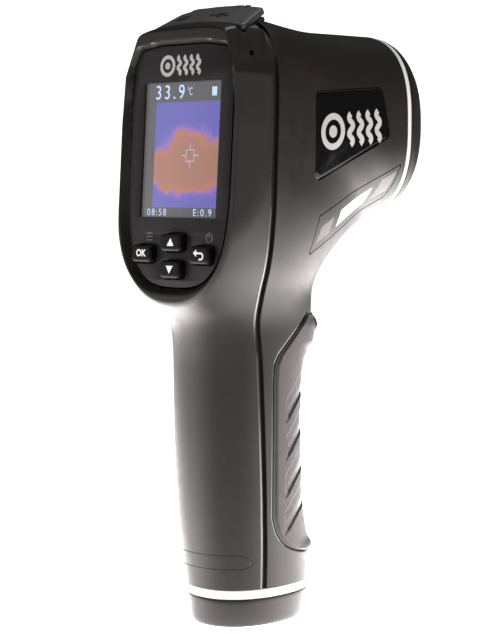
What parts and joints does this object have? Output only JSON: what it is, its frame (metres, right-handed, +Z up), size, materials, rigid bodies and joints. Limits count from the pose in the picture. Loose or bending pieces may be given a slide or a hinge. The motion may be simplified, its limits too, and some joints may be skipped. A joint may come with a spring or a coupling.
{
  "type": "thermal imaging camera",
  "caption": "Pistol-grip thermal imaging camera with a rear colour display, a keypad, a trigger, a hinged port flap, a ringed lens nose and a tripod socket in its base",
  "frame": {"origin": "mouth of the tripod socket, at the middle of the flat underside of the base", "axes": "+Z up the handle, +Y forwards, the way the lens looks, +X to the user's right; the display faces -Y"},
  "size_m": [0.0554, 0.0946, 0.1858],
  "materials": {
    "shell_black": "fine satin texture",
    "seal_black": "dull",
    "overlay_grey": "semi-gloss film",
    "display_glass": "lit colour display under clear glass",
    "steel": "plain",
    "mat_grey": "silicone",
    "key_black": "satin with white print",
    "board_green": "solder mask",
    "chip_black": "epoxy",
    "flap_rubber": "matte",
    "ring_white": "satin",
    "nose_black": "satin",
    "lens_dark": "coated infrared lens",
    "lens_milky": "translucent infrared window",
    "brass": "turned",
    "cable_amber": "film",
    "badge_gloss": "polished",
    "label_grey": "fine texture",
    "grip_rubber": "grained",
    "cell_blue": "film sleeve"
  },
  "bodies": {
    "housing": {"rear_shell": "shell_black", "front_shell": "shell_black", "shell_seal": "seal_black", "display_overlay": "overlay_grey", "lcd_glass": "display_glass", "lcd_carrier": "steel", "keypad_mat": "mat_grey", "main_board": "board_green", "board_parts": "chip_black", "board_screws": "steel", "port_tray": "seal_black", "usb_socket": "steel", "card_socket": "steel", "flap_rod": "shell_black", "nose_ring": "ring_white", "nose_bezel": "nose_black", "front_plate": "nose_black", "imager_lens": "lens_dark", "imager_barrel": "nose_black", "imager_core": "chip_black", "spot_lens": "lens_milky", "spot_tube": "nose_black", "spot_sensor": "steel", "laser_left": "brass", "laser_right": "brass", "sensor_board": "board_green", "ribbon_cable": "cable_amber", "side_badge_left": "badge_gloss", "side_badge_right": "badge_gloss", "spec_label": "label_grey", "handle_inlay": "label_grey", "grip_rubber": "grip_rubber", "trigger_pin": "steel", "trigger_spring": "steel", "trigger_switch": "chip_black", "battery_cell": "cell_blue", "battery_cradle": "chip_black", "base_ring": "ring_white", "base_cap": "nose_black", "base_screws": "steel", "tripod_insert": "brass"},
    "ok_button": {"ok_key": "key_black"},
    "up_button": {"up_key": "key_black"},
    "down_button": {"down_key": "key_black"},
    "back_button": {"back_key": "key_black"},
    "trigger_lever": {"trigger": "nose_black"},
    "flap": {"port_flap": "flap_rubber"}
  },
  "joints": [
    {"name": "ok_press", "type": "slide", "parent": "housing", "child": "ok_button", "axis": [0, 0.9982, -0.0593], "range_m": [0, 0.0006], "stiffness_N_per_m": 2000},
    {"name": "up_press", "type": "slide", "parent": "housing", "child": "up_button", "axis": [0, 0.9982, -0.0593], "range_m": [0, 0.0006], "stiffness_N_per_m": 2000},
    {"name": "down_press", "type": "slide", "parent": "housing", "child": "down_button", "axis": [0, 0.9982, -0.0593], "range_m": [0, 0.0006], "stiffness_N_per_m": 2000},
    {"name": "back_press", "type": "slide", "parent": "housing", "child": "back_button", "axis": [0, 0.9982, -0.0593], "range_m": [0, 0.0006], "stiffness_N_per_m": 2000},
    {"name": "trigger_pull", "type": "hinge", "parent": "housing", "child": "trigger_lever", "pos_m": [0, 0.0125, 0.0975], "axis": [-1, 0, 0], "range_deg": [0, 12], "stiffness_Nm_per_rad": 0.15, "deforming": ["trigger_spring"]},
    {"name": "flap_open", "type": "hinge", "parent": "housing", "child": "flap", "pos_m": [0, -0.01295, 0.18403], "axis": [-1, 0, 0], "range_deg": [0, 100], "stiffness_Nm_per_rad": 0.004}
  ]
}
